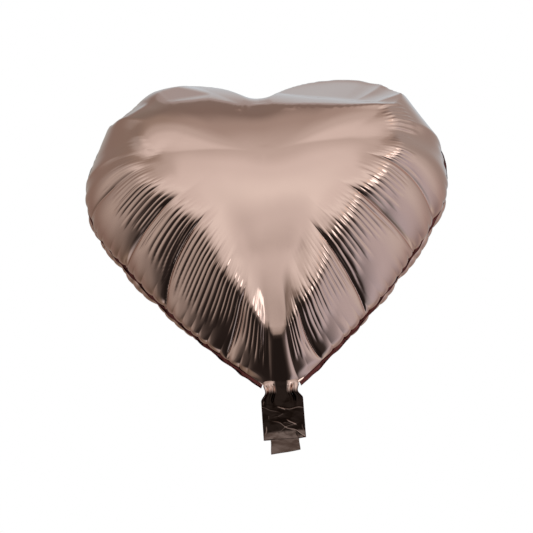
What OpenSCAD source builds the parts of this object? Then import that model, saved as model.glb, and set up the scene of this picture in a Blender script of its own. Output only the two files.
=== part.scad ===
// Heart-shaped foil balloon, inflated.
// Two sheets of metallised film are welded round a heart outline. Gas swells them into a
// pillow, and the outline narrows at the bottom into a neck and a flat filling tail. A clear
// film tongue inside the neck is the one-way valve: the gas presses its two layers together.
// The origin is the middle of the neck, where a ribbon is tied. X is the width, the front
// faces -Y, and the lobes point up +Z.

/* [Heart] */
// Width across the lobes at the seam
heart_w = 360; // [345:1:375]
// Radius of the two lobes
lobe_r = 102; // [97:1:106]
// Height of the lobes' centres above the chamber's lower end
lobe_h = 227; // [215:1:240]
// Radius of the round bottom of the cleft between the lobes
cleft_r = 16; // [12:1:28]
// How many degrees the sides turn outwards from a straight tangent to the lobes
side_bow = 9; // [2:0.5:12]
// Half of the balloon's thickness at its deepest
belly = 96; // [80:1:104]
// Height of the deepest point above the chamber's lower end
belly_h = 208; // [190:1:215]

/* [Film] */
// Thickness that stands in for the foil of the two panels
foil_t = 0.5; // [0.4:0.05:0.8]
// Thickness that stands in for the foil of the neck, tail and lip
tail_foil_t = 0.4; // [0.3:0.05:0.5]
// Thickness of the two valve films, or of a weld, together
core_t = 0.4; // [0.3:0.05:0.5]
// Width of the weld round the heart
weld_w = 4; // [3:0.5:5]

/* [Neck and tail] */
// Width of the chamber's lower end
throat_w = 34; // [30:1:38]
// Height of the neck, which the origin halves
neck_h = 12; // [10:1:14]
// Width of the tail
tail_w = 40; // [38:1:44]
// Length of the tail
tail_h = 44; // [40:1:60]
// Radius of the tail's lower corners
corner_r = 5; // [3:0.5:8]
// Width of the lip at the mouth
lip_w = 28; // [24:1:32]
// Length of the lip
lip_h = 13; // [8:1:20]
// How much longer the lip is at one side than at the other
lip_slant = 3; // [0:0.5:5]
// Half of the open strip at each crease, which leaves room to fold
crease_gap = 1.3; // [1.2:0.05:1.6]

/* [Valve] */
// Width of the valve tongue
valve_w = 25; // [22:1:28]
// Length of the tongue inside the chamber
tongue_h = 90; // [60:5:110]
// Width of the tongue's side welds
valve_weld_w = 3; // [2:0.5:4]
// How far the valve's films stop above the mouth
inlet_inset = 7; // [4:1:12]

/* [Hidden] */

// Colours of rose-gold foil, its darker weld and tail, and the clear valve film
foil_color = "#C9A192";
tail_color = "#6E5346";
lip_color = "#8A6A58";
weld_color = "#7A3A3C";
film_color = "#DDE3E6";
film_weld_color = "#B9C2C8";

// Steps along the sides, the lobes and the cleft, and rings from the middle to the seam
side_steps = 12;
lobe_steps = 22;
cleft_steps = 4;
rings = 14;
// The rings crowd towards the seam, where the foil curves most
ring_crowding = 1.8;

// Heights, from the origin. The throat's films rise this far into the chamber
throat_rise = 4;
neck_top = neck_h / 2;
tail_crease = -neck_h / 2 - crease_gap;
tail_top = tail_crease - crease_gap;
tail_end = tail_top - tail_h;
lip_top = tail_end - 2 * crease_gap;
tongue_crease = neck_top + throat_rise;
tongue_bottom = tongue_crease + crease_gap;

// The side is a quadratic curve from the throat's corner to the lobe's circle, which it
// meets on the circle's own tangent
throat = throat_w / 2;
lobe_x = heart_w / 2 - lobe_r;
lobe_reach = norm([lobe_x - throat, lobe_h]);
side_lean = asin(lobe_r / lobe_reach) + atan2(lobe_x - throat, lobe_h) - side_bow;
touch = [lobe_x + lobe_r * cos(side_lean), lobe_h - lobe_r * sin(side_lean)];
elbow = touch - norm(touch - [throat, 0]) / 2 * [sin(side_lean), cos(side_lean)];
// The cleft's circle sits on the two lobes
cleft_h = lobe_h + sqrt(pow(lobe_r + cleft_r, 2) - lobe_x * lobe_x);
lobe_end = atan2(cleft_h - lobe_h, -lobe_x);

// The right half of the outline, from the middle of the throat to the middle of the cleft
function side_point(u) = pow(1 - u, 2) * [throat, 0] + 2 * u * (1 - u) * elbow + u * u * touch;
right_half = concat(
    [[0, 0]],
    [for (i = [0 : side_steps - 1]) side_point(i / side_steps)],
    [for (i = [0 : lobe_steps]) let (a = -side_lean + (lobe_end + side_lean) * i / lobe_steps)
        [lobe_x + lobe_r * cos(a), lobe_h + lobe_r * sin(a)]],
    [for (i = [1 : cleft_steps]) let (a = lobe_end - 180 + (90 - lobe_end) * i / cleft_steps)
        [cleft_r * cos(a), cleft_h + cleft_r * sin(a)]]
);
outline = concat(
    right_half,
    [for (i = [len(right_half) - 2 : -1 : 1]) [-right_half[i].x, right_half[i].y]]
);
count = len(outline);

// Toward the middle, each ring of the pillow is a softer heart than the seam. Its reach is
// the sum of the first four cosine terms of the seam's own reach from the deepest point.
middle = [0, belly_h];
reach = [for (p = outline) norm(p - middle)];
bearing = [for (p = outline) p == outline[0] ? 180 : atan2(p.x, p.y - belly_h)];
share = [for (j = [0 : count - 1])
    ((j == 0 ? bearing[count - 1] + 360 : bearing[j - 1])
    - (j == count - 1 ? bearing[0] - 360 : bearing[j + 1])) / 2];
function total(list) = list * [for (item = list) 1];
function cosine_term(k) =
    total([for (j = [0 : count - 1]) reach[j] * cos(k * bearing[j]) * share[j]])
    / (k == 0 ? 360 : 180);
terms = [for (k = [0 : 3]) cosine_term(k)];
soft_reach = [for (a = bearing) terms * [for (k = [0 : 3]) cos(k * a)]];

// Half of the film's gap at a point of ring r: the round pillow of an inflated flat envelope,
// held in near the throat, where the sides are too close together for its full depth. The
// half width at a height is read off the side's curve, and above it off the tangent.
wedge_ratio = 0.72;
closing_h = 16;
function half_width(z) =
    z > touch.y ? touch.x + (z - touch.y) * tan(side_lean)
    : side_point(z / (elbow.y + sqrt(pow(elbow.y, 2) + (touch.y - 2 * elbow.y) * z))).x;
function closing(z) = sqrt(1 - pow(1 - min(z / closing_h, 1), 2));
function depth(p, r) =
    let (
        pillow = belly * sqrt(1 - pow(r, 3)),
        wedge = wedge_ratio * sqrt(max(0, pow(half_width(p.y), 2) - p.x * p.x)) * closing(p.y)
    )
    pow(pow(max(pillow, 0.01), -4) + pow(max(wedge, 0.01), -4), -1 / 4);
function film_point(j, r, inset) =
    let (
        toward = (outline[j] - middle) / reach[j],
        p = middle + toward * r * (soft_reach[j] + (reach[j] - soft_reach[j]) * pow(r, 4)),
        q = middle + (p - middle) * (1 - inset / reach[j]),
        y = r == 1 ? 0 : depth(p, r) * (1 - inset / belly)
    )
    [q.x, -core_t / 2 - y, q.y];

// One panel: an outer skin, an inner skin and the thin rim between them
function skin(inset) = concat(
    [film_point(0, 0, inset)],
    [for (i = [1 : rings], j = [0 : count - 1])
        film_point(j, 1 - pow(1 - i / rings, ring_crowding), inset)]
);
function at(i, j) = 1 + (i - 1) * count + j % count;
skin_faces = concat(
    [for (j = [0 : count - 1]) [0, at(1, j), at(1, j + 1)]],
    [for (i = [1 : rings - 1], j = [0 : count - 1], t = [0, 1])
        t == 0 ? [at(i, j), at(i + 1, j), at(i + 1, j + 1)]
               : [at(i, j), at(i + 1, j + 1), at(i, j + 1)]]
);
module panel() {
    outer = skin(0);
    inner = skin(foil_t);
    shift = len(outer);
    translate([0, 0, neck_top])
        polyhedron(
            points = concat(outer, inner),
            faces = concat(
                [for (f = skin_faces) [f[0], f[2], f[1]]],
                [for (f = skin_faces) [f[0] + shift, f[1] + shift, f[2] + shift]],
                [for (j = [0 : count - 1], t = [0, 1])
                    let (a = at(rings, j), b = at(rings, j + 1))
                    t == 0 ? [a, b, b + shift] : [a, b + shift, a + shift]]
            ),
            convexity = 6
        );
}

// A flat piece in the plane of the weld, between two places in depth
module flat(y_low, y_high) {
    translate([0, y_high, 0]) rotate([90, 0, 0]) linear_extrude(y_high - y_low) children();
}
module strip(x_low, x_high, z_low, z_high) {
    translate([x_low, z_low]) square([x_high - x_low, z_high - z_low]);
}

// The outline moved outwards, each point square to the line between its two neighbours
function moved(distance) = [for (j = [0 : count - 1])
    let (along = outline[(j + 1) % count] - outline[(j + count - 1) % count])
    outline[j] + distance * [along.y, -along.x] / norm(along)];

// The four layers of the neck and tail: foil, valve film, valve film, foil
module front_foil_layer() { flat(-core_t / 2 - tail_foil_t, -core_t / 2) children(); }
module back_foil_layer() { flat(core_t / 2, core_t / 2 + tail_foil_t) children(); }
module front_film_layer() { flat(-core_t / 2, 0) children(); }
module back_film_layer() { flat(0, core_t / 2) children(); }
module core_layer() { flat(-core_t / 2, core_t / 2) children(); }

// The weld runs round the heart and down both sides of the neck, and leaves the throat open
module weld_shape() {
    difference() {
        union() {
            translate([0, neck_top]) polygon(moved(weld_w));
            strip(-tail_w / 2, tail_w / 2, -neck_top, neck_top);
        }
        translate([0, neck_top]) polygon(moved(-foil_t));
        strip(-valve_w / 2, valve_w / 2, -neck_h, neck_h);
    }
}

// The tail has square corners at the crease and round ones at the mouth
module tail_shape() {
    union() {
        strip(-tail_w / 2, tail_w / 2, tail_end + corner_r, tail_top);
        strip(-tail_w / 2 + corner_r, tail_w / 2 - corner_r, tail_end, tail_top);
        for (side = [-1, 1])
            translate([side * (tail_w / 2 - corner_r), tail_end + corner_r]) circle(corner_r, $fn = 32);
    }
}
module tail_weld() {
    core_layer() intersection() {
        tail_shape();
        strip(valve_w / 2, tail_w / 2, tail_end, tail_top);
    }
}
module lip_shape() {
    polygon([
        [-lip_w / 2, lip_top], [lip_w / 2, lip_top],
        [lip_w / 2, lip_top - lip_h + lip_slant], [-lip_w / 2, lip_top - lip_h]
    ]);
}

module neck_strip() { strip(-tail_w / 2, tail_w / 2, -neck_top, neck_top); }
module throat_strip() { strip(-valve_w / 2, valve_w / 2, -neck_top, tongue_crease - crease_gap); }
module inlet_strip() { strip(-valve_w / 2, valve_w / 2, tail_end + inlet_inset, tail_top); }
module tongue_strip() {
    half = valve_w / 2 - valve_weld_w;
    strip(-half, half, tongue_bottom, tongue_bottom + tongue_h);
}
module tongue_weld() {
    core_layer() strip(valve_w / 2 - valve_weld_w, valve_w / 2, tongue_bottom, tongue_bottom + tongue_h);
}

module front_foil() { color(foil_color) panel(); }
module back_foil() { color(foil_color) mirror([0, 1, 0]) panel(); }
module seam_weld() { color(weld_color) core_layer() weld_shape(); }
module neck_front_foil() { color(foil_color) front_foil_layer() neck_strip(); }
module neck_back_foil() { color(foil_color) back_foil_layer() neck_strip(); }
module tail_front_foil() { color(tail_color) front_foil_layer() tail_shape(); }
module tail_back_foil() { color(tail_color) back_foil_layer() tail_shape(); }
module tail_left_weld() { color(weld_color) mirror([1, 0, 0]) tail_weld(); }
module tail_right_weld() { color(weld_color) tail_weld(); }
module mouth_lip() { color(lip_color) core_layer() lip_shape(); }
module throat_front_film() { color(film_color) front_film_layer() throat_strip(); }
module throat_back_film() { color(film_color) back_film_layer() throat_strip(); }
module inlet_front_film() { color(film_color) front_film_layer() inlet_strip(); }
module inlet_back_film() { color(film_color) back_film_layer() inlet_strip(); }
module tongue_front_film() { color(film_color) front_film_layer() tongue_strip(); }
module tongue_back_film() { color(film_color) back_film_layer() tongue_strip(); }
module tongue_left_weld() { color(film_weld_color) mirror([1, 0, 0]) tongue_weld(); }
module tongue_right_weld() { color(film_weld_color) tongue_weld(); }

front_foil();
back_foil();
seam_weld();
neck_front_foil();
neck_back_foil();
tail_front_foil();
tail_back_foil();
tail_left_weld();
tail_right_weld();
mouth_lip();
throat_front_film();
throat_back_film();
inlet_front_film();
inlet_back_film();
tongue_front_film();
tongue_back_film();
tongue_left_weld();
tongue_right_weld();
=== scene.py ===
# %% [markdown]
# # A heart-shaped foil balloon
#
# Two flat hearts of metallised film are welded round their edge and filled with gas. The film
# can't stretch, so a flat heart can't become a smooth dome: its rim grows shorter, and the
# spare length goes into creases, fans of fine pleats and a puckered weld. This lesson builds
# that shape with numpy, as surfaces of two parameters, around a CAD model that already fixes
# every size. All lengths in the formulas are millimetres. They become metres, Blender's unit,
# when a mesh is made.

import math

import bpy
import numpy as np
from mathutils import Matrix, Vector


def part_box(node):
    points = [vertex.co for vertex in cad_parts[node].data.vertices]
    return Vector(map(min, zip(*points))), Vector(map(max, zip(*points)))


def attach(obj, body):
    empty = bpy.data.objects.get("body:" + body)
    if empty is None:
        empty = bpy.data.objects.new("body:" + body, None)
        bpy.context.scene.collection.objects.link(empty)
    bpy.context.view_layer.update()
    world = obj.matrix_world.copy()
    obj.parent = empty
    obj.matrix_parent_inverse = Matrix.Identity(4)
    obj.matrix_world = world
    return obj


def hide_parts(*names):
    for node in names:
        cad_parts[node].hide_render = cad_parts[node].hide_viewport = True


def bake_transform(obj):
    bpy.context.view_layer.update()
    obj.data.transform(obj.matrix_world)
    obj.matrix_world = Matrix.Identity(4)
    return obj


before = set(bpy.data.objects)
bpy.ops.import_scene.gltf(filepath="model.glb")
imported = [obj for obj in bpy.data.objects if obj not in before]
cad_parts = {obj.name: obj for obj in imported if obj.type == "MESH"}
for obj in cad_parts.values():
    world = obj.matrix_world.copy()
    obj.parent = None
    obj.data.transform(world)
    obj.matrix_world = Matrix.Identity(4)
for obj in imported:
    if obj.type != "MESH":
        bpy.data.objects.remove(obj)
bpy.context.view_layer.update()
MM = 0.001

# %% [markdown]
# ## Two helpers for every material
#
# Colours are picked as sRGB hex values, as in a paint program, but shaders add light, so they
# need linear numbers. A node tree is long to write out, so one function adds a node, sets its
# values and makes its links.

# %% Colour and node helpers


def linear(hex_colour):
    """sRGB hex to linear RGBA: each channel c becomes ((c + 0.055) / 1.055) ** 2.4."""
    channels = [int(hex_colour[i : i + 2], 16) / 255 for i in (1, 3, 5)]
    return [c / 12.92 if c < 0.04045 else ((c + 0.055) / 1.055) ** 2.4 for c in channels] + [1]


def add_node(tree, kind, settings=None, **inputs):
    """Adds one node. Settings are its own attributes. Inputs are values, or sockets to link."""
    node = tree.nodes.new(kind)
    for name, value in (settings or {}).items():
        setattr(node, name, value)
    for name, value in inputs.items():
        key = int(name[1:]) if name[0] == "i" and name[1:].isdigit() else name.replace("_", " ")
        if isinstance(value, bpy.types.NodeSocket):
            tree.links.new(value, node.inputs[key])
        else:
            node.inputs[key].default_value = value
    return node


def set_ramp(node, stops):
    """Gives a Color Ramp node its stops, (position, linear colour), with no kink at a stop."""
    node.color_ramp.interpolation = "EASE"
    elements = node.color_ramp.elements
    while len(elements) > 1:
        elements.remove(elements[-1])
    elements[0].position = stops[0][0]
    elements[0].color = stops[0][1]
    for position, colour in stops[1:]:
        elements.new(position).color = colour


print("mid grey in linear light:", round(linear("#808080")[0], 3))

# %% [markdown]
# ## The camera
#
# The balloon is seen from below and from far away with a long lens, so the tail's end is a
# little nearer than the lobes. The camera is placed by azimuth and elevation round a point
# inside the heart, and turned a few degrees about its own axis, because the balloon hangs a
# little askew in the frame.

# %% Camera
scene = bpy.context.scene
TARGET = np.array([0, 0, 176]) * MM
DISTANCE = 2.62
AZIMUTH, ELEVATION, ROLL = (math.radians(a) for a in (0.4, -29.4, 4.1))
level = np.array([math.sin(AZIMUTH), -math.cos(AZIMUTH), 0]) * math.cos(ELEVATION)
back = level + [0, 0, math.sin(ELEVATION)]
camera_data = bpy.data.cameras.new("camera")
camera_data.lens = 175.9
camera_data.sensor_width = 36
camera_data.shift_x = -0.0068
camera_data.shift_y = -0.0638
camera_data.clip_end = 50
camera = bpy.data.objects.new("camera", camera_data)
scene.collection.objects.link(camera)
camera.location = TARGET + back * DISTANCE
aim = Vector(-back).to_track_quat("-Z", "Y").to_matrix()
camera.rotation_euler = (aim @ Matrix.Rotation(-ROLL, 3, "Z")).to_euler()
scene.camera = camera
scene.view_settings.view_transform = "Standard"
print("camera at", [round(c, 2) for c in camera.location])

# %% [markdown]
# ## The studio
#
# A mirror has no look of its own: what shows is the room. So the light is a room drawn in the
# world shader. Each of its walls is a ramp of colour from straight down to straight up, and
# neighbouring walls blend by compass bearing. The front wall is dark below, brightest at the
# horizon and dimmer towards the ceiling, which gives the balloon its pale middle and black
# lower spine. The left wall is darker than the right one, and the back wall is bluish above,
# where the lobes' tops mirror it.

# %% Studio walls
# bearing in degrees, 0 in front, 90 on the right: then (elevation, colour) from floor to ceiling
WALLS = [
    (-180, [(-90, "#4A4644"), (-60, "#C8C4C2"), (-40, "#9A8C84"), (-12, "#948678"),
            (8, "#8A7C72"), (24, "#968D85"), (34, "#B2B1AC"), (50, "#C4D0D8"), (90, "#AEADAF")]),
    (-122, [(-90, "#332F2E"), (-60, "#BDBBBD"), (-40, "#8E8479"), (-22, "#70645A"),
            (0, "#8A7B74"), (22, "#8F8078"), (60, "#8F8580"), (90, "#AEADAF")]),
    (-78, [(-90, "#2B2827"), (-45, "#332F2E"), (-30, "#5C5754"), (-18, "#948E8A"),
           (-6, "#B4B0AC"), (5, "#BDB9B4"), (22, "#AAA6A3"), (38, "#918780"), (60, "#8C8782"),
           (90, "#AEADAF")]),
    (-32, [(-90, "#1F1C1B"), (-42, "#262221"), (-26, "#34302E"), (-15, "#8A827C"),
           (-5, "#CBC8C5"), (6, "#E4E2E1"), (16, "#DAD7D5"), (26, "#C2BDB9"), (38, "#A1978F"),
           (56, "#877F7A"), (90, "#AEADAF")]),
    (0, [(-90, "#1C1918"), (-46, "#221F1E"), (-38, "#37322F"), (-30, "#A49E99"), (-14, "#DDDBDA"),
         (0, "#F1F1F0"), (14, "#E6E4E3"), (25, "#CECAC7"), (36, "#B0A7A2"), (50, "#8A807B"),
         (66, "#8A827E"), (90, "#AEADAF")]),
    (40, [(-90, "#2B2827"), (-46, "#383433"), (-31, "#6B6664"), (-20, "#C6C3C2"),
          (-10, "#DEDDDC"), (0, "#EFEEED"), (14, "#E2E0DF"), (25, "#CBC7C4"), (36, "#B0A8A3"),
          (52, "#8E8581"), (90, "#AEADAF")]),
    (78, [(-90, "#6A6A6C"), (-65, "#A0A5AB"), (-38, "#BCBCC6"), (-20, "#C2C0C6"), (-5, "#CFCECE"),
          (12, "#C4C2C0"), (28, "#ABA8A6"), (60, "#A8A6A6"), (90, "#AEADAF")]),
    (122, [(-90, "#5A5654"), (-60, "#CFCBC6"), (-40, "#B0A8A4"), (-22, "#988E90"), (0, "#AEA2A0"),
           (22, "#A39B98"), (45, "#A8A4A2"), (90, "#AEADAF")]),
    (180, [(-90, "#4A4644"), (-60, "#C8C4C2"), (-40, "#9A8C84"), (-12, "#948678"),
           (10, "#998B81"), (22, "#B4BAC0"), (40, "#CCD8E0"), (60, "#C4D0D8"), (90, "#AEADAF")]),
]

world = bpy.data.worlds.new("studio")
scene.world = world
world.use_nodes = True
tree = world.node_tree
tree.nodes.clear()
direction = add_node(tree, "ShaderNodeTexCoord").outputs["Generated"]
split = add_node(tree, "ShaderNodeSeparateXYZ", Vector=direction)
slope = add_node(tree, "ShaderNodeMath", {"operation": "ARCSINE"}, i0=split.outputs["Z"])
height = add_node(
    tree, "ShaderNodeMath", {"operation": "MULTIPLY_ADD"}, i0=slope.outputs[0], i1=1 / math.pi, i2=0.5
)
ahead = add_node(tree, "ShaderNodeMath", {"operation": "MULTIPLY"}, i0=split.outputs["Y"], i1=-1.0)
bearing = add_node(
    tree, "ShaderNodeMath", {"operation": "ARCTAN2"}, i0=split.outputs["X"], i1=ahead.outputs[0]
)


def blended(tree, factor, first, second):
    """A Mix node between two colours, each a socket or a value. Returns its colour socket."""
    colours = {"i6": first, "i7": second}
    node = add_node(tree, "ShaderNodeMix", {"data_type": "RGBA"}, i0=factor, **colours)
    return node.outputs[2]


def eased(socket, start, end):
    """0 before start, 1 after end, smooth between them."""
    node = add_node(
        tree, "ShaderNodeMapRange", {"interpolation_type": "SMOOTHSTEP"}, Value=socket,
        From_Min=start, From_Max=end,
    )
    return node.outputs["Result"]


light, last = None, None
for degrees, stops in WALLS:
    ramp = add_node(tree, "ShaderNodeValToRGB", Fac=height.outputs[0])
    set_ramp(ramp, [(angle / 180 + 0.5, linear(colour)) for angle, colour in stops])
    wall_colour = ramp.outputs["Color"]
    if light is None:
        light = wall_colour
    else:
        factor = eased(bearing.outputs[0], math.radians(last), math.radians(degrees))
        light = blended(tree, factor, light, wall_colour)
    last = degrees
print("studio walls at bearings", [wall[0] for wall in WALLS])

# %% [markdown]
# ## Windows, background and floor
#
# Two small bright windows on the right put the white glints on the pleats. Rays from the
# camera itself see plain white in place of the room. The floor is matt paper: it scatters all
# light alike, so it gives the eye one quiet tone, and the foil is kept from mirroring it.

# %% Windows, background and floor
# (direction, angular radius in degrees, colour, strength) of each lit window
WINDOWS = [
    ((0.6, -0.74, -0.31), 8, "#FFFFFF", 1.9),
    ((0.5, -0.62, 0.05), 5, "#FFF2E6", 0.9),
]
for toward, radius, colour, strength in WINDOWS:
    unit = np.array(toward) / np.linalg.norm(toward)
    facing = add_node(
        tree, "ShaderNodeVectorMath", {"operation": "DOT_PRODUCT"}, i0=direction, i1=unit
    )
    edge = math.cos(math.radians(radius))
    glow = eased(facing.outputs["Value"], edge - 0.012, edge + 0.006)
    light = blended(tree, glow, light, [c * strength for c in linear(colour)[:3]] + [1])

sees = add_node(tree, "ShaderNodeLightPath").outputs["Is Camera Ray"]
room = blended(tree, sees, light, (1, 1, 1, 1))
background = add_node(tree, "ShaderNodeBackground", Color=room)
add_node(tree, "ShaderNodeOutputWorld", Surface=background.outputs[0])

FLOOR_Z = -1.6
bpy.ops.mesh.primitive_plane_add(size=12, location=(0, 0, FLOOR_Z))
floor = bpy.context.object
floor.name = "studio_floor"
floor.visible_glossy = False
paper = bpy.data.materials.new("matt_white_paper")
paper.use_nodes = True
shader = paper.node_tree.nodes["Principled BSDF"]
shader.inputs["Base Color"].default_value = linear("#F2F1EF")
shader.inputs["Roughness"].default_value = 0.9
floor.data.materials.append(paper)
print(len(WINDOWS), "windows, and a floor", -FLOOR_Z, "m below the neck")

# %% [markdown]
# ## The heart's outline
#
# The seam is a closed curve in the XZ plane: a short straight throat at the bottom, a side
# that is a quadratic curve, a lobe that is a circle and a small circle at the cleft, then the
# mirror image. It is the CAD model's own outline, made here from the same dimensions as a
# table with a point about every millimetre. Places on it are named by s, their distance
# along the weld from the throat's middle, positive to the right.

# %% Outline
HEART_W, LOBE_R, LOBE_H, CLEFT_R = 360, 102, 227, 16
BELLY, BELLY_H, THROAT, WELD_W = 96, 208, 17, 4
SIDE_BOW = math.radians(9)
NECK_TOP = 6
TABLE = 1100

lobe_x = HEART_W / 2 - LOBE_R
lean = math.asin(LOBE_R / math.hypot(lobe_x - THROAT, LOBE_H))
lean += math.atan2(lobe_x - THROAT, LOBE_H) - SIDE_BOW
touch = np.array([lobe_x + LOBE_R * math.cos(lean), LOBE_H - LOBE_R * math.sin(lean)])
corner = np.array([THROAT, 0.0])
elbow = touch - np.linalg.norm(touch - corner) / 2 * np.array([math.sin(lean), math.cos(lean)])


def arc(centre_x, centre_z, radius, start, end, steps=800):
    """Points on a circle: centre + radius * (cos a, sin a), for a from start to end."""
    a = np.linspace(start, end, steps + 1)[1:]
    return np.stack([centre_x + radius * np.cos(a), centre_z + radius * np.sin(a)], 1)


def heart_outline():
    """Evenly spaced points on the seam, and the seam's whole length."""
    cleft_h = LOBE_H + math.sqrt((LOBE_R + CLEFT_R) ** 2 - lobe_x**2)
    lobe_end = math.atan2(cleft_h - LOBE_H, -lobe_x)
    u = np.linspace(0, 1, 1500)[:, None]
    half = np.vstack(
        [
            np.linspace(0, 1, 200, endpoint=False)[:, None] * corner,
            (1 - u) ** 2 * corner + 2 * u * (1 - u) * elbow + u * u * touch,
            arc(lobe_x, LOBE_H, LOBE_R, -lean, lobe_end),
            arc(0, cleft_h, CLEFT_R, lobe_end - math.pi, -math.pi / 2),
        ]
    )
    loop = np.vstack([half, (half * [-1, 1])[::-1][1:]])
    run = np.concatenate([[0], np.cumsum(np.hypot(*np.diff(loop, axis=0).T))])
    along = np.arange(TABLE) * run[-1] / TABLE
    return np.stack([np.interp(along, run, loop[:, k]) for k in (0, 1)], 1), run[-1]


seam, seam_length = heart_outline()
STEP = seam_length / TABLE
print(f"seam {seam_length:.0f} mm long, from the cleft at {-seam_length / 2:.0f} and back")

# %% [markdown]
# ## A grid that runs square to the weld
#
# Creases in an inflated foil leave the weld at a right angle, so the grid does too. Each
# column is a Bezier curve that starts square to the seam and ends at the heart's deepest
# point. The first handle is shorter where the two sides are close together, so that no two
# columns cross. Rows crowd quadratically towards the seam, where the film turns fastest, and
# columns crowd along the pleated sides. In the smooth middle every fifth column is enough.

# %% Grid columns
COLUMNS, THIN = 1300, 5
ROWS, OUTER_ROWS = 48, 34
MIDDLE = np.array([0.0, BELLY_H])


def blur(values, length):
    """Smooths the seam's table with a Gaussian of that length, by its Fourier terms."""
    spectrum = np.fft.fft(values, axis=0)
    wave = np.fft.fftfreq(TABLE) * 2 * math.pi * length / STEP
    fade = np.exp(-0.5 * wave**2).reshape([-1] + [1] * (values.ndim - 1))
    return np.real(np.fft.ifft(spectrum * fade, axis=0))


def at(table, s):
    """A table's value at places s along the seam, where the table starts at the throat."""
    own = np.arange(TABLE) * STEP
    if table.ndim == 1:
        return np.interp(np.mod(s, seam_length), own, table, period=seam_length)
    return np.stack([at(column, s) for column in table.T], -1)


def smooth(x, start, end):
    """0 at start, 1 at end and u * u * (3 - 2 * u) between them."""
    u = np.clip((x - start) / (end - start), 0, 1)
    return u * u * (3 - 2 * u)


def column_places(count):
    """Places along the seam whose spacing is inverse to 1 + 2.6 where the film is pleated."""
    s = np.linspace(-seam_length / 2, seam_length / 2, 8001)
    pleated = smooth(np.abs(s), 8, 20) * (1 - smooth(np.abs(s), 290, 320))
    packed = np.concatenate([[0], np.cumsum(1 + 2.6 * pleated)])[:-1]
    return np.interp(np.arange(count) / count * packed[-1], packed, s)


def seam_normals():
    """Unit vectors out of the heart, in its plane, softened round the throat's corners."""
    ahead = np.roll(seam, -1, 0) - np.roll(seam, 1, 0)
    out = blur(np.stack([ahead[:, 1], -ahead[:, 0]], 1), 14)
    return out / np.linalg.norm(out, axis=1)[:, None]


def first_handles(out):
    """How far each column runs straight in: at most 80 mm, less near the axis and cleft."""
    x, z = np.abs(seam[:, 0]), seam[:, 1]
    to_axis = np.where(z < LOBE_H, x / np.maximum(0.25, np.abs(out[:, 0])), 1e3)
    handle = np.minimum(0.6 * to_axis, np.minimum(80, 0.62 * np.hypot(x, z - BELLY_H)))
    handle = np.minimum(handle, np.where(z > LOBE_H, 18 + 0.9 * x, 1e3))
    return blur(np.maximum(handle, 10), 14)


def plane_grid(start, out, handle, w):
    """Cubic Bezier columns from start, square to the seam, to MIDDLE. w is 0 to 1."""
    first = start - out * handle[:, None]
    second = MIDDLE + 0.35 * (first - MIDDLE)
    w = w[:, None, None]
    points = (1 - w) ** 3 * start + 3 * w * (1 - w) ** 2 * first
    return points + 3 * w**2 * (1 - w) * second + w**3 * MIDDLE


seam_out = seam_normals()
column_s = column_places(COLUMNS)
rim, rim_out = at(seam, column_s), at(seam_out, column_s)
w_rows = (np.arange(ROWS) / ROWS) ** 2
plane = plane_grid(rim, rim_out, at(first_handles(seam_out), column_s), w_rows)
inward = ((rim - plane) * rim_out).sum(2)
turn = np.roll(plane, -1, 1) - plane
step_in = np.diff(plane, axis=0)
cell = step_in[:, :, 0] * turn[:-1, :, 1] - step_in[:, :, 1] * turn[:-1, :, 0]
print("all grid cells turn one way:", bool((cell > 0).all() or (cell < 0).all()))
print(f"columns are {np.diff(column_s).min():.2f} to {np.diff(column_s).max():.2f} mm apart")

# %% [markdown]
# ## The pillow
#
# A flat envelope of film that can't stretch inflates to the same profile whatever its size:
# half thickness = depth * sqrt(1 - r^3), where r is 0 at the middle and 1 at the seam. For a
# heart, r is measured along a ray from the deepest point, and the rings between the middle
# and the seam are softer hearts. Near the throat the sides are too close together for that
# depth, so a wedge limits it. The wedge has a flat front that ends below in a V-shaped fold,
# and under the fold a narrow spine runs down to the neck. A smooth minimum joins the two.

# %% Pillow depth
FIRMNESS = 8.0
# (height, half thickness) of the wedge's flat front, and (height, slope) of its folded sides
WEDGE_DEPTHS = [(0, 16), (110, 66), (220, 124), (400, 220)]
FOLD_SLOPES = [(0, 0.43), (60, 0.43), (140, 0.12), (220, 0)]
FOLD_TIP = 37


def read_off(table, x):
    """A table of (place, value) pairs read at x."""
    return np.interp(x, *np.array(table, float).T)


def half_width(z):
    """The side's x at height z, read off its quadratic curve, or off its end tangent above."""
    root = np.sqrt(np.maximum(elbow[1] ** 2 + (touch[1] - 2 * elbow[1]) * z, 0))
    u = np.clip(z / (elbow[1] + root), 0, 1)
    curve = (1 - u) ** 2 * corner[0] + 2 * u * (1 - u) * elbow[0] + u * u * touch[0]
    return np.where(z > touch[1], touch[0] + (z - touch[1]) * math.tan(lean), curve)


def ring_number(points):
    """r of each point, from reach = r * (soft + (seam's reach - soft) * r^4) along its ray."""
    ray = seam - MIDDLE
    table_angle = np.mod(np.arctan2(ray[:, 0], ray[:, 1]), 2 * math.pi)
    order = np.argsort(table_angle)
    table_angle, table_reach = table_angle[order], np.hypot(*ray.T)[order]
    gap = np.diff(np.concatenate([table_angle, table_angle[:1] + 2 * math.pi]))
    share = (gap + np.roll(gap, 1)) / 2 / math.pi
    terms = [(table_reach * np.cos(k * table_angle) * share).sum() for k in range(4)]
    terms[0] /= 2
    ray = points - MIDDLE
    angle = np.mod(np.arctan2(ray[..., 0], ray[..., 1]), 2 * math.pi)
    reach = np.hypot(ray[..., 0], ray[..., 1])
    edge = np.interp(angle, table_angle, table_reach, period=2 * math.pi)
    soft = sum(term * np.cos(k * angle) for k, term in enumerate(terms))
    r = reach / edge
    for _ in range(12):
        error = r * (soft + (edge - soft) * r**4) - reach
        r = r - error / (soft + 5 * (edge - soft) * r**4)
    return np.clip(r, 0, 1)


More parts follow.
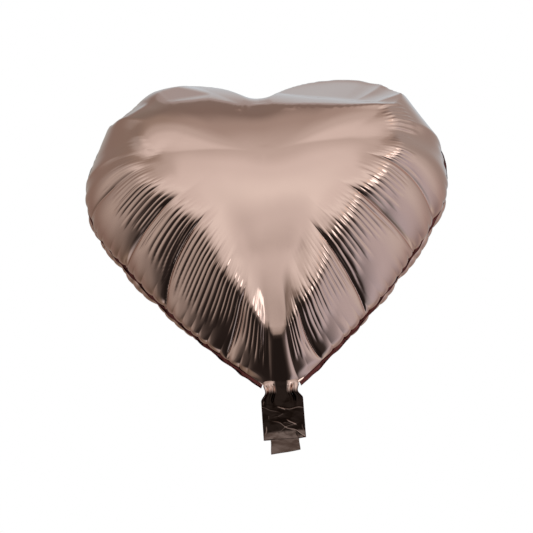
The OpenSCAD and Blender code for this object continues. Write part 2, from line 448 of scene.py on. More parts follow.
def column_share(points):
    """1 at the seam to 0 at the middle, by distance along each column."""
    step = np.linalg.norm(np.diff(points, axis=0), axis=2)
    run = np.vstack([np.zeros(COLUMNS), np.cumsum(step, axis=0)])
    return 1 - run / (run[-1] + np.linalg.norm(points[-1] - MIDDLE, axis=1))


def wedge_depth(x, z):
    """(front - slope * outside) * sqrt(1 - v^2), v running from 0 at the axis to 1 at the side.

    outside = |x| - spine + (tip - z) / 1.3 is how far a place lies outside a V-shaped fold.
    """
    spine = 4 + 3 * (1 - smooth(z, 0, 36))
    beside = np.maximum(np.abs(x) - spine, 0)
    outside = np.maximum(beside + (FOLD_TIP - z) / 1.3, 0)
    front = read_off(WEDGE_DEPTHS, z) - outside * read_off(FOLD_SLOPES, z)
    v = np.clip(beside / (half_width(z) - spine), 0, 1)
    return front * np.sqrt(1 - v**2)


def pillow_depth(points):
    """Half thickness: (pillow^-8 + wedge^-8)^(-1/8), with pillow = belly * sqrt(1 - r^power).

    The power grows from 3 to 4.5 in the lobes, which are fuller. Under the cleft, where a ray
    meets the seam's notch, r is the share of the column instead.
    """
    x, z = points[..., 0], points[..., 1]
    near_cleft = smooth(np.abs(column_s), 400, 490)
    r = (1 - near_cleft) * ring_number(points) + near_cleft * column_share(points)
    power = 3 + 1.5 * smooth(np.abs(column_s), 290, 400)
    pillow = BELLY * np.sqrt(1 - r**power)
    wedge = wedge_depth(x, z)
    depth = np.maximum(pillow, 0.01) ** -FIRMNESS + np.maximum(wedge, 0.01) ** -FIRMNESS
    depth = depth ** (-1 / FIRMNESS)
    depth[0] = 0
    return depth


depth = pillow_depth(plane)
film_step = np.hypot(np.linalg.norm(step_in, axis=2), np.diff(depth, axis=0))
arc_in = np.vstack([np.zeros(COLUMNS), np.cumsum(film_step, axis=0)])
print(f"pillow is {2 * depth.max():.0f} mm thick, {arc_in[-1].max():.0f} mm from seam to middle")

# %% [markdown]
# ## Creases, edges and facets
#
# The rim grows shorter as the balloon fills, and its spare length goes first into the large
# folds. Deep creases cut the sides into bands that bulge like a pumpkin. On the lobes the
# bands are hollow and meet in ridges. Where the film is pulled tight between two points it
# makes a straight edge, and on the lobes' tops it lies almost flat. Every fold is a function
# of s and of t, the distance in from the weld, and moves the film along its own normal.

# %% Creases and facets
# (place s, drift of its seam end, how far it reaches in, depth), all in mm
FRONT_CREASES = [
    (-270, -3, 34, 0.7), (-206, 0, 70, 1.9), (-163, 24, 84, 2.0), (-66, 3, 62, 2.1),
    (45, 7, 50, 1.8), (127, -17, 84, 2.1), (198, 0, 78, 2.0), (255, -22, 72, 1.6),
]
BACK_CREASES = [
    (-262, 8, 60, 1.6), (-214, -4, 74, 2.0), (-150, -12, 82, 2.0), (-95, 6, 66, 1.7), (-48, -4, 50, 1.8),
    (60, 4, 56, 2.0), (118, 14, 76, 1.9), (176, -8, 80, 2.1), (236, 6, 70, 1.8), (284, 0, 50, 1.2),
]
FRONT_RIDGES = [-528, -471, -429, -370, -311, 330, 381, 413, 457, 520]
BACK_RIDGES = [-524, -480, -436, -388, -322, 318, 366, 420, 468, 526]
# (corner, corner, height, reach inside, reach outside) of each taut edge, x and z in mm
FRONT_EDGES = [
    ((-109, 290), (-138, 262), 1.0, 16, 20),
    ((-130, 254), (-109, 220), 3.0, 12, 6), ((-109, 220), (-80, 175), 1.5, 12, 12),
    ((123, 285), (126, 256), 3.0, 16, 6),
    ((126, 256), (143, 235), 3.2, 16, 6), ((143, 235), (131, 205), 2.0, 14, 9),
    ((-21, 257), (-18, 272), 1.3, 1.6, 1.6), ((-14, 257), (-14, 271), 1.1, 1.4, 1.4),
    ((-26, 260), (-23, 272), 0.9, 1.4, 1.4), ((27, 256), (26, 270), 1.1, 1.4, 1.4),
    ((33, 256), (31, 271), 1.3, 1.6, 1.6), ((39, 259), (36, 271), 0.9, 1.4, 1.4),
    ((-15, 266), (28, 265), 1.5, 3.0, 1.5),
]
BACK_EDGES = [
    ((-101, 292), (-138, 256), 1.0, 18, 16), ((108, 290), (140, 252), 1.0, 16, 12),
    ((-19, 257), (-20, 272), 1.3, 1.6, 1.6), ((20, 257), (21, 271), 1.3, 1.6, 1.6),
    ((-18, 266), (18, 266), 1.5, 3.0, 1.5),
]
# Nearly flat cuts, each through three (x, z, depth) points, the first two on its lower crest
FRONT_FACETS = [
    ((-17, 264, 93), (-109, 290, 79), (-72, 322, 46)), ((30, 263, 94), (123, 285, 77), (83, 322, 53)),
    ((-109, 290, 79), (-138, 262, 74), (-146, 290, 40)), ((123, 285, 77), (146, 235, 70), (162, 268, 42)),
]
BACK_FACETS = [
    ((-20, 264, 93), (-101, 292, 80), (-66, 322, 46)), ((20, 264, 94), (108, 290, 80), (74, 322, 48)),
    ((-101, 292, 80), (-140, 256, 74), (-145, 290, 38)), ((108, 290, 80), (142, 248, 73), (152, 286, 38)),
]
# How far in from the seam the smooth middle starts, by |s|
MIDDLE_EDGE = [(0, 40), (30, 56), (70, 60), (100, 70), (150, 80), (200, 74), (250, 66), (300, 58)]
BAND_BULGE, RIDGE_HOLLOW = 0.055, 0.065


def straightened(s, t, creases):
    """s with each crease's drift taken out: s - drift * exp(-t / 14), drift linear between."""
    places = [-320] + [c[0] for c in creases] + [320]
    drifts = [0] + [c[1] for c in creases] + [0]
    return s - np.interp(s, places, drifts) * np.exp(-t / 14)


def band_phase(s, knots):
    """0 to 1 across the band between two knots, and the band's width."""
    knots = np.array(knots, float)
    k = np.clip(np.searchsorted(knots, s) - 1, 0, len(knots) - 2)
    width = knots[k + 1] - knots[k]
    return np.clip((s - knots[k]) / width, 0, 1), width


def bands(s, t, arc, creases, ridges):
    """Bulge of 4 * height * p * (1 - p) between creases, and the same hollow between ridges."""
    edge = read_off(MIDDLE_EDGE, np.abs(s))
    p, width = band_phase(s, sorted([-330, -14, 14, 330] + [c[0] for c in creases]))
    fade = smooth(arc, 0, 10) * (1 - smooth(t, 0.55 * edge, 1.1 * edge))
    bulge = 4 * BAND_BULGE * width * p * (1 - p) * fade * (1 - smooth(np.abs(s), 270, 320))
    p, width = band_phase(s, [-548] + ridges + [548])
    fade = smooth(arc, 0, 12) * (1 - smooth(t, 20, 60)) * smooth(np.abs(s), 290, 330)
    fade = fade * (1 - smooth(np.abs(s), 400, 440))
    return bulge - 4 * RIDGE_HOLLOW * width * p * (1 - p) * fade


def shoulder(s, t):
    """A soft ridge where the flat middle turns down to the sides: 4 * exp(-((t - crest) / 17)^2)."""
    crest = 0.82 * read_off(MIDDLE_EDGE, np.abs(s))
    ridge = 4 * np.exp(-(((t - crest) / 17) ** 2))
    return ridge * (1 - smooth(np.abs(s), 270, 330))


def crease_lines(s, t, arc, creases):
    """Each crease is a V, -depth * exp(-|distance| / 1.6), with a fainter twin beside it."""
    cut = np.zeros(s.shape)
    for k, (place, _, reach, deep) in enumerate(creases):
        side = 1 if k % 2 else -1
        fade = smooth(arc, 1, 14) * (1 - smooth(t, 0.55 * reach, reach))
        cut -= deep * fade * np.exp(-np.abs(s - place) / 1.6)
        twin = smooth(t, 8, 20) * (1 - smooth(t, 0.5 * reach, 0.8 * reach))
        cut -= 0.4 * deep * twin * np.exp(-np.abs(s - place - side * (5 + 0.05 * t)) / 1.1)
    return cut


def taut_edges(x, z, edges):
    """Ridges where film is pulled straight between two corners, with a sharp crest line.

    Each is height * 4 * u * (1 - u) * exp(-|distance| / reach), for u from 0 to 1 along it.
    """
    total = np.zeros(x.shape)
    for (ax, az), (bx, bz), height, inside, outside in edges:
        length = math.hypot(bx - ax, bz - az)
        ux, uz = (bx - ax) / length, (bz - az) / length
        run = ((x - ax) * ux + (z - az) * uz) / length
        side = (x - ax) * -uz + (z - az) * ux
        middle_side = (MIDDLE[0] - ax) * -uz + (MIDDLE[1] - az) * ux
        reach = np.where(side * middle_side > 0, inside, outside)
        ends = np.clip(4 * run * (1 - run), 0, 1)
        total += height * ends * np.exp(-np.abs(side) / reach)
    return total


def facet_cut(depth, x, z, facets):
    """The smaller of the depth and each facet's, which bulges 4 mm along a and 4 mm along b.

    Facet: p1 + a * (p2 - p1) + b * (p3 - p1) + 16 * a * (1 - a) + 16 * b * (1 - b).
    """
    for first, second, third in np.array(facets, float):
        edges = np.array([(second - first)[:2], (third - first)[:2]])
        a, b = np.tensordot(np.linalg.inv(edges.T), [x - first[0], z - first[1]], 1)
        level = first[2] + a * (second - first)[2] + b * (third - first)[2]
        for share in (np.clip(a, 0, 1), np.clip(b, 0, 1)):
            level = level + 16 * share * (1 - share)
        depth = np.minimum(depth, np.maximum(level, 0))
    return depth


def undulation(x, z, seed):
    """A slow unevenness of the whole film: four sine waves 60 to 140 mm long."""
    rng = np.random.default_rng(seed)
    total = np.zeros(x.shape)
    for length in (140, 110, 80, 60):
        heading, start = rng.uniform(0, 2 * math.pi, 2)
        path = x * math.cos(heading) + z * math.sin(heading)
        total += 0.002 * length * np.sin(2 * math.pi * path / length + start)
    return total


print("front creases at s =", [c[0] for c in FRONT_CREASES])

# %% [markdown]
# ## Pleats and puckers
#
# What length is left goes into small folds. Between the creases, fans of fine pleats run from
# near the weld to the smooth middle: round crests with sharp valleys, each with its own width,
# height and length. One lobe has a patch of stronger ribs. The weld itself puckers, and just
# inside it the film is pressed out past the weld in scallops.

# %% Pleats and puckers
PLEAT, PUCKER = 6.0, 14.0


def uneven_folds(rng, s, pitch, spread, start=-560, end=560):
    """Folds spaced pitch * (1 + a random share up to spread) apart, along the whole weld.

    Gives how many lines divide them, the number of the fold that s lies in and its phase, 0 to 1.
    """
    steps = pitch * (1 + spread * rng.uniform(-1, 1, int((end - start) / pitch * 1.6)))
    lines = start + np.concatenate([[0], np.cumsum(steps)])
    k = np.clip(np.searchsorted(lines, s) - 1, 0, len(lines) - 2)
    return len(lines), k, (s - lines[k]) / (lines[k + 1] - lines[k])


def pleat_fans(s, t, seed, outer):
    """Height * |sin(pi * phase)| for each pleat, faded in near the seam and out at the middle."""
    rng = np.random.default_rng(seed)
    lines, k, phase = uneven_folds(rng, s, PLEAT, 0.2)
    own = rng.uniform(0, 1, (5, lines))
    inner = read_off(MIDDLE_EDGE, np.abs(s)) * (0.84 + 0.16 * own[0][k])
    start = read_off(outer, s) * (0.75 + 0.5 * own[1][k])
    fade = smooth(t, start - 3, start + 6) * (1 - smooth(t, inner - 18, inner))
    height = 0.6 + 0.4 * own[2][k]
    slow = 0.9 + 0.12 * np.sin(t / (7 + 6 * own[3][k]) + 6 * own[4][k])
    return height * slow * fade * np.abs(np.sin(math.pi * phase)) ** 0.6


def fan_mask(s, low, high):
    """1 along the pleated sides, between |s| 14 and the end on either side."""
    left = (1 - smooth(-s, -low - 14, -low)) * smooth(-s, 12, 24)
    right = (1 - smooth(s, high - 14, high)) * smooth(s, 12, 24)
    return np.where(s < 0, left, right)


def rib_patch(s, t, facing):
    """Eight strong ribs on one lobe's shoulder, s from 312 to 368 and 26 to 52 mm in."""
    fade = smooth(t, 22, 30) * (1 - smooth(t, 44, 54)) * smooth(-facing * s, 312, 318)
    return 1.5 * fade * (1 - smooth(-facing * s, 362, 368)) * np.abs(np.sin(math.pi * s / 7))


def puckers(s):
    """For each place on the weld: how far through its pucker it is, its height and its side."""
    rng = np.random.default_rng(7)
    lines, k, phase = uneven_folds(rng, s, PUCKER, 0.3)
    return phase, rng.uniform(0.5, 1.0, lines)[k], np.where(k % 2, 1, -1)


def pucker_wave(s):
    """The weld's sideways wave: 1.1 mm * height * sin(pi * phase), still at the throat."""
    phase, height, side = puckers(s)
    return 1.1 * height * side * np.sin(math.pi * phase) * smooth(np.abs(s), 20, 50)


def rim_swell(s, arc):
    """Film pressed out past the weld in its plane: 4.4 * (1 - exp(-arc / 2.5)), then fading."""
    phase, height, _ = puckers(s)
    scallop = 0.45 + 0.55 * (0.4 + 0.6 * height) * np.abs(np.sin(math.pi * phase)) ** 0.6
    scallop = 1 - (1 - scallop) * np.exp(-((arc / 16) ** 2))
    swell = 4.4 * (1 - np.exp(-arc / 2.5)) * np.exp(-((arc / 32) ** 2))
    return swell * scallop * smooth(np.abs(s), 20, 60)


rim_height = float(np.abs(pucker_wave(column_s)).max())
print(f"pleats every {PLEAT} mm, and the weld waves {rim_height:.1f} mm to either side")

# %% [markdown]
# ## From grid to mesh
#
# One function turns a grid of points into a mesh. Rows of quads run in from the seam, a
# strip of triangles steps down to every fifth column, and the last row closes on one pole.
# Solidify then gives the film its wall on the inside, so that the piece is a closed skin.

# %% Mesh helpers


def grid_faces(rows, columns, first=0, closed=True):
    """Quads between neighbouring rows of a grid, whose last column joins the first if closed."""
    i, j = np.mgrid[0 : rows - 1, 0 : columns if closed else columns - 1]
    here, right = i * columns + j, i * columns + (j + 1) % columns
    quads = np.stack([here, right, right + columns, here + columns], -1)
    return first + quads.reshape(-1, 4)


def make_piece(name, points, faces, material, body=None):
    """A smooth-shaded mesh object from points in mm. Faces are lists of index rows."""
    mesh = bpy.data.meshes.new(name)
    corners = (np.asarray(points, float) * MM).tolist()
    mesh.from_pydata(corners, [], [face for part in faces for face in part.tolist()])
    mesh.validate()
    mesh.polygons.foreach_set("use_smooth", np.ones(len(mesh.polygons), bool))
    piece = bpy.data.objects.new(name, mesh)
    scene.collection.objects.link(piece)
    mesh.materials.append(material)
    if body:
        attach(piece, body)
    return piece


def set_attribute(piece, name, values):
    """Stores one number per point, for a material to read."""
    layer = piece.data.attributes.new(name, "FLOAT", "POINT")
    layer.data.foreach_set("value", np.asarray(values, np.float32).ravel())


def wall(piece, thickness):
    """Gives a film its thickness, inwards."""
    solid = piece.modifiers.new("wall", "SOLIDIFY")
    solid.thickness = thickness * MM
    solid.offset = -1


def carried_profile(name, rings, material, body=None, flip=False):
    """A closed strip with flat ends. Each ring is one corner of the profile, carried along."""
    sides, count = rings.shape[:2]
    i, j = np.mgrid[0:sides, 0 : count - 1]
    here, over = i * count + j, ((i + 1) % sides) * count + j
    strip = np.stack([here, over, over + 1, here + 1], -1).reshape(-1, 4)
    first = np.arange(sides) * count
    faces = [strip, first[None, :], (first + count - 1)[None, ::-1]]
    if flip:
        faces = [part[:, ::-1] for part in faces]
    return make_piece(name, rings.reshape(-1, 3), faces, material, body)


print("the panels' grid has", ROWS, "rows of up to", COLUMNS, "points")

# %% [markdown]
# ## The foil
#
# The film is polyamide about 0.02 mm thick with aluminium evaporated on it and a clear rose
# lacquer over that. Aluminium gives the eye a true mirror, the lacquer tints every reflection
# pink gold, and the film's faint draw lines and dimples soften the picture in it. Metals keep
# the default IOR. Roughness varies a little, because handling scuffs the lacquer.

# %% Foil material
LACQUER = "#EBCDC0"


def foil_material(name, colour, roughness, uneven, dimple_mm, dimple_depth, dark=None):
    """Metallised film: a tinted mirror, with two noises of given size for its dimples.

    Where the points' own "shade" attribute is 1 the tint is the dark one, if there is one: a painted
    shade.
    """
    material = bpy.data.materials.new(name)
    material.use_nodes = True
    tree = material.node_tree
    shader = tree.nodes["Principled BSDF"]
    shader.inputs["Metallic"].default_value = 1
    place = add_node(tree, "ShaderNodeTexCoord").outputs["Object"]
    cloud = add_node(tree, "ShaderNodeTexNoise", Vector=place, Scale=1 / (45 * MM), Detail=3.0)
    deeper = [c * 0.93 for c in linear(colour)[:3]] + [1]
    tint = blended(tree, cloud.outputs["Fac"], linear(colour), deeper)
    # The dark tint, mixed in by the "shade" attribute, is painted shade.
    if dark:
        shade = add_node(tree, "ShaderNodeAttribute", {"attribute_name": "shade"})
        tint = blended(tree, shade.outputs["Fac"], tint, linear(dark))
    tree.links.new(tint, shader.inputs["Base Color"])
    scuff = add_node(tree, "ShaderNodeTexNoise", Vector=place, Scale=1 / (12 * MM), Detail=6.0)
    rough = add_node(
        tree, "ShaderNodeMapRange", Value=scuff.outputs["Fac"], From_Min=0.3, From_Max=0.7,
        To_Min=roughness, To_Max=roughness + uneven,
    )
    tree.links.new(rough.outputs["Result"], shader.inputs["Roughness"])
    dimples = add_node(
        tree, "ShaderNodeTexNoise", Vector=place, Scale=1 / (dimple_mm * MM), Detail=4.0
    )
    bump = add_node(
        tree, "ShaderNodeBump", Height=dimples.outputs["Fac"], Strength=1.0,
        Distance=dimple_depth * MM,
    )
    tree.links.new(bump.outputs["Normal"], shader.inputs["Normal"])
    return material


panel_foil = foil_material("rose_gold_metallised_film", LACQUER, 0.05, 0.05, 9, 0.015)
print("made", panel_foil.name)

# %% [markdown]
# ## The front and back panels
#
# Both panels use the same columns, so their edges meet all round. Each starts as the pillow,
# then the relief moves it along the pillow's own normal, and the pucker wave shifts both
# panels sideways together near the weld.

# %% Panels
HALF_CORE, PANEL_WALL = 0.2, 0.3


def film_panel(name, facing, creases, ridges, edges, facets, outer, ends, seed):
    """points = pillow + normal * relief + pucker, facing is -1 for the front, 1 for the back."""
    x, z = plane[..., 0], plane[..., 1]
    here = np.broadcast_to(column_s, x.shape)
    own_depth = depth + taut_edges(x, z, edges) * smooth(arc_in, 8, 30)
    own_depth = facet_cut(own_depth, x, z, facets)
    base = np.stack([x, facing * (HALF_CORE + own_depth), z], -1)
    along = np.roll(base, -1, 1) - np.roll(base, 1, 1)
    across = np.gradient(base, axis=0)
    out = np.cross(along, across) * -facing
    out /= np.maximum(np.linalg.norm(out, axis=-1), 1e-9)[..., None]
    flat = straightened(here, inward, creases)
    relief = bands(flat, inward, arc_in, creases, ridges)
    relief += shoulder(flat, inward) * smooth(np.abs(here), 20, 60)
    relief += crease_lines(flat, inward, arc_in, creases)
    relief += pleat_fans(flat, inward, seed, outer) * fan_mask(flat, *ends)
    relief += 0.2 * pleat_fans(flat, 0.9 * inward, seed + 1, outer) * fan_mask(flat, -345, 330)
    relief += rib_patch(flat, inward, facing)
    relief += undulation(x, z, seed) * smooth(arc_in, 5, 60)
    at_throat = (1 - smooth(np.abs(here), 4, 16)) * (1 - smooth(inward, 30, 80))
    relief *= (1 - at_throat) * smooth(arc_in, 0, 3)
    relief[-1] = relief[-1].mean()
    points = base + out * relief[..., None]
    points[..., [0, 2]] += rim_out * rim_swell(here, arc_in)[..., None]
    points[..., 1] += pucker_wave(here) * np.exp(-arc_in / 9)
    points[..., 2] += NECK_TOP
    return panel_mesh(name, points, facing)


def panel_mesh(name, points, facing):
    """Full columns near the seam, every fifth one in the middle, and one pole."""
    thin = COLUMNS // THIN
    outer = points[:OUTER_ROWS].reshape(-1, 3)
    inner = points[OUTER_ROWS:, ::THIN].reshape(-1, 3)
    pole = (points[-1].mean(0) + [0, facing * 0.02, 0])[None]
    first = len(outer)
    last_ring = (OUTER_ROWS - 1) * COLUMNS
    j = np.arange(thin)
    here, right = first + j, first + (j + 1) % thin
    steps = [
        np.stack([last_ring + (j * THIN + k) % COLUMNS, last_ring + (j * THIN + k + 1) % COLUMNS,
                  here if k < 3 else right], 1)
        for k in range(THIN)
    ]
    joints = np.stack([last_ring + (j * THIN + 3) % COLUMNS, right, here], 1)
    last = first + (ROWS - OUTER_ROWS - 1) * thin
    cap = np.stack([last + j, last + (j + 1) % thin, np.full(thin, first + len(inner))], 1)
    faces = [grid_faces(OUTER_ROWS, COLUMNS), grid_faces(ROWS - OUTER_ROWS, thin, first)]
    faces += steps + [joints, cap]
    if facing > 0:
        faces = [part[:, ::-1] for part in faces]
    return make_piece(name, np.vstack([outer, inner, pole]), faces, panel_foil, "balloon")


FRONT_FAN_START = [(-330, 24), (-253, 22), (-174, 15), (-111, 16), (-60, 20), (0, 16),
                   (65, 19), (110, 24), (213, 29), (300, 38), (400, 30)]
BACK_FAN_START = [(-330, 30), (-200, 20), (-100, 16), (0, 18), (90, 20), (180, 26), (300, 32)]
front_panel = film_panel(
    "front_panel", -1, FRONT_CREASES, FRONT_RIDGES, FRONT_EDGES, FRONT_FACETS, FRONT_FAN_START,
    (-268, 315), 21,
)
back_panel = film_panel(
    "back_panel", 1, BACK_CREASES, BACK_RIDGES, BACK_EDGES, BACK_FACETS, BACK_FAN_START,
    (-300, 296), 34,
)
for panel, node in ((front_panel, "front_foil"), (back_panel, "back_foil")):
    wall(panel, PANEL_WALL)
    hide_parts(node)
    print(panel.name, len(panel.data.polygons), "faces")

# %% [markdown]
# ## The welded rim
#
# Outside the chamber the two films are melted together in a flange 4 mm wide. It has lost its
# slack too, so it ripples with the pucker wave, more at its free edge than at its root. The
# heat bar leaves the foil duller, with a fine rib pressed into it, and its dark red tint is
# painted shade for the groove the weld sits in. The rim is a flat four-sided profile carried
# round the whole seam.

# %% Welded rim


def flange_piece(name, material):
    """Profile points (distance out, half thickness) carried round the seam, save the throat.

    Its free edge leans back and waves more than its root.
    """
    profile = [(-0.8, 0.3), (1.0, 0.32), (2.5, 0.3), (WELD_W, 0.22),
               (WELD_W, -0.22), (2.5, -0.3), (1.0, -0.32), (-0.8, -0.3)]
    along = np.mod(column_s, seam_length)
    order = np.argsort(along)
    inside = (along[order] > THROAT + 1) & (along[order] < seam_length - THROAT - 1)
    pinch = 0.25 * (1 - np.cos(2 * math.pi * column_s / PUCKER))
    rings = []
    for reach, side in profile:
        spread = reach * (1 - 0.12 * pinch)
        xz = rim + rim_out * spread[:, None]
        outside = max(reach, 0)
        sway = pucker_wave(column_s) * (1 + 0.3 * outside) + 0.3 * outside
        rings.append(np.stack([xz[:, 0], -side + sway, xz[:, 1] + NECK_TOP], 1))
    return carried_profile(name, np.array(rings)[:, order[inside]], material, "balloon")


# Both films melted together under a hot ribbed bar, which dulls the mirror. Its dark red tint
# is painted shade for the groove the weld sits in, so the eye reads a narrow dark red line. Its
# dimples are 2.5 mm apart, the bar's own pattern.
weld_foil = foil_material("heat_sealed_film_painted_dark", "#5E3432", 0.18, 0.12, 2.5, 0.12)
rim_piece = flange_piece("welded_rim", weld_foil)
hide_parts("seam_weld")
print(rim_piece.name, len(rim_piece.data.polygons), "faces")

# %% [markdown]
# ## Neck, tail and mouth
#
# The tail is the filling tube: the same two films, flat, with a clear valve film between
# them. Gas never swells it once the valve has shut, so it stays limp and crumpled. Crumpled
# foil is a set of flat facets between straight folds. A sum of triangle waves in several
# directions gives that. Where the tube leaves the tight heart its width is drawn in, and the
# spare film stands in upright gathers.

# %% Tail sheets
NECK_END, TAIL_END, LIP_END = -6.0, -52.6, -68.2
TUBE_WALL = 0.2


def crumple(x, z, seed, count=7, size=(9, 26)):
    """Mean of triangle waves |frac| * 4 - 1, each with its own heading and length in mm."""
    rng = np.random.default_rng(seed)
    total = np.zeros(np.shape(x))
    for _ in range(count):
        heading, start, length = rng.uniform(0, math.pi), rng.uniform(), rng.uniform(*size)
        path = (x * math.cos(heading) + z * math.sin(heading)) / length + start
        total += (4 * np.abs(path - np.floor(path + 0.5)) - 1) * length / size[1]
    return total / count


def fold_lines(x, z, seed, count=13):
    """Sharp folds: height * exp(-|distance| / 0.5), 12 to 40 mm long, most of them level."""
    rng = np.random.default_rng(seed)
    total = np.zeros(np.shape(x))
    for k in range(count):
        x0, z0 = rng.uniform(-19, 19), rng.uniform(-52, -6)
        heading = rng.uniform(-0.7, 0.7) + (math.pi / 2 if k % 4 == 0 else 0)
        reach = rng.uniform(6, 20) * (0.5 if k % 4 == 0 else 1)
        run = (x - x0) * math.cos(heading) + (z - z0) * math.sin(heading)
        side = -(x - x0) * math.sin(heading) + (z - z0) * math.cos(heading)
        side += 0.6 * np.sin(run / 2.5 + k)
        ends = 1 - smooth(np.abs(run), 0.3 * reach, reach)
        total += rng.uniform(0.25, 0.7) * ends * np.exp(-np.abs(side) / 0.5)
    return total


def tail_width(z):
    """Half width: 17 at the throat, 15.5 at the gathered neck, 20 in the tail."""
    drawn = 17 - 1.5 * smooth(-z, -NECK_TOP, 1)
    return drawn + 4.5 * smooth(-z, 2, 11)


def tail_middle(x, z, share):
    """How far the flat tube bends out of its plane: gathers at the neck, crumples below."""
    neck = smooth(-z, -6, 0) * (1 - smooth(-z, 6, 22)) * smooth(np.abs(share), 0.25, 0.6)
    gathers = 1.5 * np.sin(4.2 * math.pi * share + 0.8) + 1.1 * np.sin(9.4 * math.pi * share + 2)
    folds = 3.0 * crumple(x, z, 5, 5, (18, 40)) + 0.6 * crumple(x, z, 6, 4, (8, 16))
    return neck * gathers * (1 - share**6) + folds * smooth(-z, -4, 10)


def tail_sheet(name, facing, seed, top, bottom, rows=150, columns=110):
    """A sheet over z from top to bottom and across the tube, its own crumple fading at edges."""
    heights, shares = np.linspace(top, bottom, rows), np.linspace(-1, 1, columns)
    z, share = np.meshgrid(heights, shares, indexing="ij")
    x = share * tail_width(z)
    flare = 1.1 + 3.4 * smooth(z, -6, 7)
    swell = 0.25 + flare * np.sqrt(1 - share**2 + 1e-4) * (1 - 0.7 * smooth(-z, 44, 53))
    own = 1.2 * np.abs(crumple(x, z, seed, 4, (10, 24))) * (1 - share**4)
    folds = fold_lines(x, z, seed)
    y = tail_middle(x, z, share) + facing * (swell + own + folds * (1 - share**8))
    points = np.stack([x, y, z], -1).reshape(-1, 3)
    faces = grid_faces(rows, columns, closed=False)
    if facing > 0:
        faces = faces[:, ::-1]
    sheet = make_piece(name, points, [faces], tail_foil)
    # Painted reflection: shade darkens the tint below the neck and down the neck's middle strip, the fold
    # lines lift it as painted light lines, and the lowest band keeps a little less of it.
    shade = np.maximum(smooth(-z, -2, 5), 1 - smooth(np.abs(share), 0.3, 0.5))
    shade *= 1 - np.clip(1.2 * folds - 0.2, 0, 0.45)
    set_attribute(sheet, "shade", shade * (1 - 0.2 * smooth(-z, 44, 47)))
    return sheet


# The same film as the panels, but limp: handling has set sharp folds in it. Its tint is
# darkened below the neck and down the neck's middle: a painted reflection of a dark floor.
# The fold lines keep less of that dark, so they show as painted light lines. Its dimples are
# 5 mm apart.
tail_foil = foil_material("crumpled_tail_film_painted_dark", LACQUER, 0.06, 0.08, 5, 0.05, "#2A211D")
for side, facing, seed in (("front", -1, 11), ("back", 1, 12)):
    sheet = tail_sheet(f"tail_{side}_sheet", facing, seed, NECK_TOP + 3, TAIL_END)
    wall(sheet, TUBE_WALL)
    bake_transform(sheet)
    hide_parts(f"neck_{side}_foil", f"tail_{side}_foil")
    print(sheet.name, len(sheet.data.polygons), "faces")

# %% [markdown]
# ## The tail's side welds
#
# A narrow weld closes the tube on either side. It is a flat bar that follows the tube's edge
# through the gathers and crumples, and it wraps round both sheets so that no gap shows.

# %% Side welds of the tail


def side_weld(name, side):
    """A flat strip 3 mm wide on the tail's edge that closes round both sheets."""
    z = np.linspace(NECK_TOP - 1, TAIL_END, 80)
    profile = [(-2.4, 0.55), (-0.4, 0.5), (0.5, 0.28), (0.5, -0.28), (-0.4, -0.5), (-2.4, -0.55)]
    rings = []
    for reach, half in profile:
        x = side * (tail_width(z) + reach)
        middle = tail_middle(side * tail_width(z), z, side)
        rings.append(np.stack([x, middle - half, z], 1))
    return carried_profile(name, np.array(rings), weld_foil, flip=side > 0)


for side, name in ((-1, "left"), (1, "right")):
    weld = side_weld(f"tail_{name}_seal", side)
    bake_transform(weld)
    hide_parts(f"tail_{name}_weld")
    print(weld.name, len(weld.data.polygons), "faces")

# %% [markdown]
# ## The mouth's lip
#
# The tube ends in a narrower lip that was cut a little askew. It is the part that slides over
# a filling nozzle.

# %% Lip
lip_low, lip_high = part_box("mouth_lip")
lip_mid, lip_half = (lip_low.x + lip_high.x) / 2 / MM, (lip_high.x - lip_low.x) / 2 / MM
# LIP_SHADE is painted reflection: the lip takes 0.8 of the tail film's painted dark tint.
LIP_SHADE = 0.8
print(f"lip is {2 * lip_half:.0f} mm wide")


def lip_sheet(name, material, rows=34, columns=44):
    """Both films as one flat closed tube: half an ellipse in front, half behind."""
    turn = np.linspace(0, 2 * math.pi, 2 * columns, endpoint=False)
    z01 = np.linspace(0, 1, rows)[:, None]
    share = np.cos(turn)[None, :] * np.ones((rows, 1))
    x = lip_mid + share * (lip_half - 0.3 * np.sin(5 * z01))
    low = LIP_END + 1.5 * (1 + share)
    z = (TAIL_END + 2.5) + (low - TAIL_END - 2.5) * z01
    y = 0.55 * np.sin(turn)[None, :] + tail_middle(x, z, share) * (1 - 0.5 * z01)
    points = np.stack([x, y, z], -1)
    faces = grid_faces(rows, 2 * columns)
    top = np.arange(2 * columns)[None, ::-1]
    bottom = top[:, ::-1] + (rows - 1) * 2 * columns
    faces = [part[:, ::-1] for part in (faces, top, bottom)]
    piece = make_piece(name, points.reshape(-1, 3), faces, material)
    set_attribute(piece, "shade", np.full(points.shape[:2], LIP_SHADE))
    return piece


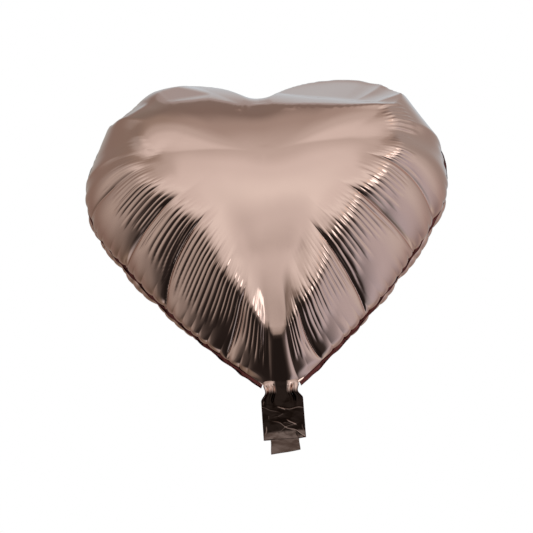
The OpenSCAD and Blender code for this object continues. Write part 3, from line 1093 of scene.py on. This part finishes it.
lip = lip_sheet("filling_lip", tail_foil)
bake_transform(lip)
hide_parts("mouth_lip")
print(lip.name, len(lip.data.polygons), "faces")

# %% [markdown]
# ## What the films were before they were filled
#
# Foil balloons are sold by the width of their flat film. This one's is 17 inches: two hearts
# 432 mm wide, which shrink to 360 mm across the seam as they fill. The tube's films were strips
# as wide as the tube is now, since gas never swells it.

# %% Sheets
print("before filling, the panels were two hearts 432 mm wide")

# %% [markdown]
# ## The valve films
#
# Inside the tail and the chamber lie clear polythene films that shut flat under the gas's own
# pressure. They stay as the CAD model's pieces and get a clear, slightly milky film material.

# %% Valve film material


def valve_material():
    """Clear low-density polythene, blown film: glossy, a little milky, faint die lines."""
    material = bpy.data.materials.new("clear_polythene_film")
    material.use_nodes = True
    tree = material.node_tree
    shader = tree.nodes["Principled BSDF"]
    shader.inputs["IOR"].default_value = 1.51
    shader.inputs["Transmission Weight"].default_value = 0.85
    place = add_node(tree, "ShaderNodeTexCoord").outputs["Object"]
    lines = add_node(
        tree, "ShaderNodeTexWave", {"bands_direction": "X"}, Vector=place, Scale=1 / (6 * MM),
        Distortion=2.0, Detail=3.0,
    )
    milk = add_node(tree, "ShaderNodeValToRGB", Fac=lines.outputs["Fac"])
    set_ramp(milk, [(0, linear("#DDE3E6")), (1, linear("#F4F6F7"))])
    tree.links.new(milk.outputs["Color"], shader.inputs["Base Color"])
    haze = add_node(
        tree, "ShaderNodeMapRange", Value=lines.outputs["Fac"], To_Min=0.18, To_Max=0.3
    )
    tree.links.new(haze.outputs["Result"], shader.inputs["Roughness"])
    bump = add_node(
        tree, "ShaderNodeBump", Height=lines.outputs["Fac"], Strength=1.0, Distance=0.03 * MM
    )
    tree.links.new(bump.outputs["Normal"], shader.inputs["Normal"])
    return material


valve_film = valve_material()
valve_nodes = [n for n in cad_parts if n.startswith(("throat", "inlet", "tongue"))]
for name in valve_nodes:
    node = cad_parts[name]
    node.data.materials.clear()
    node.data.materials.append(valve_film)
print("clear film on", ", ".join(sorted(valve_nodes)))
